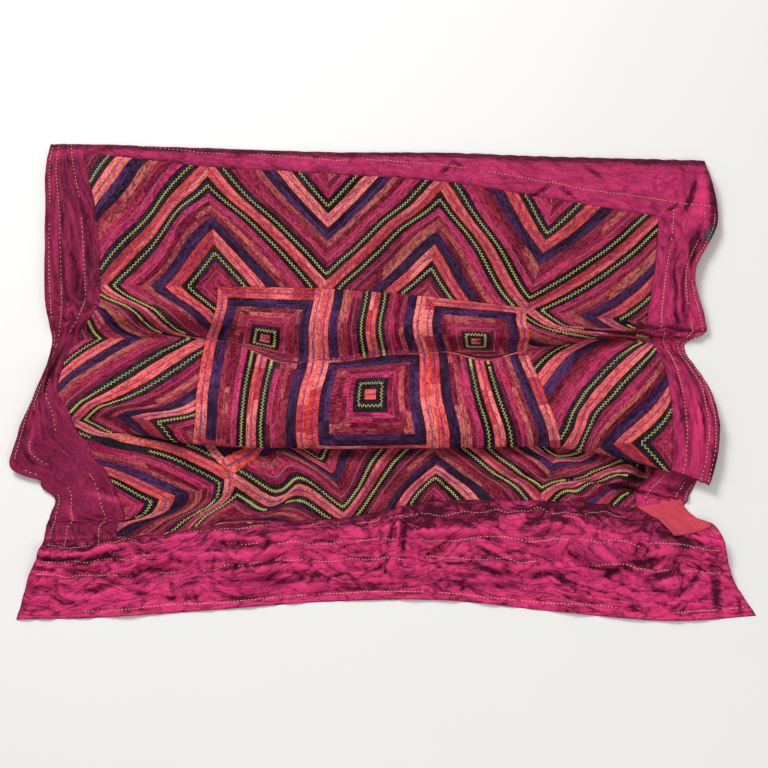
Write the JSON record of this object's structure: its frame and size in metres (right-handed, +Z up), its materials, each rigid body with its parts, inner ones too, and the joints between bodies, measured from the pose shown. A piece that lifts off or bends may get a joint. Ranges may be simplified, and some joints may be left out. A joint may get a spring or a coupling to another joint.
{
  "type": "velvet bedspread",
  "caption": "Pieced velvet bedspread with a plain crushed velvet border, thrown down in loose folds with a deep pleat across the front.",
  "frame": {"origin": "middle of the footprint, on the surface that the bedspread lies on", "axes": "+X along the pieced rows from the left border to the right border, +Y from the bottom hem towards the top fold, +Z up out of the surface"},
  "size_m": [2.2468, 1.5672, 0.0693],
  "materials": {
    "pieced_velvet": "narrow strips of crushed velvet in coral, crimson, rose, purple, magenta and black, with embroidered seams",
    "border_velvet": "crushed magenta velvet with pale running stitches",
    "lining_cotton": "plain salmon red cotton"
  },
  "bodies": {
    "root": {"pieced_field": "pieced_velvet", "border_top": "border_velvet", "border_left": "border_velvet", "border_right": "border_velvet", "border_bottom_left": "border_velvet", "border_bottom_right": "border_velvet", "lining": "lining_cotton"}
  },
  "joints": []
}
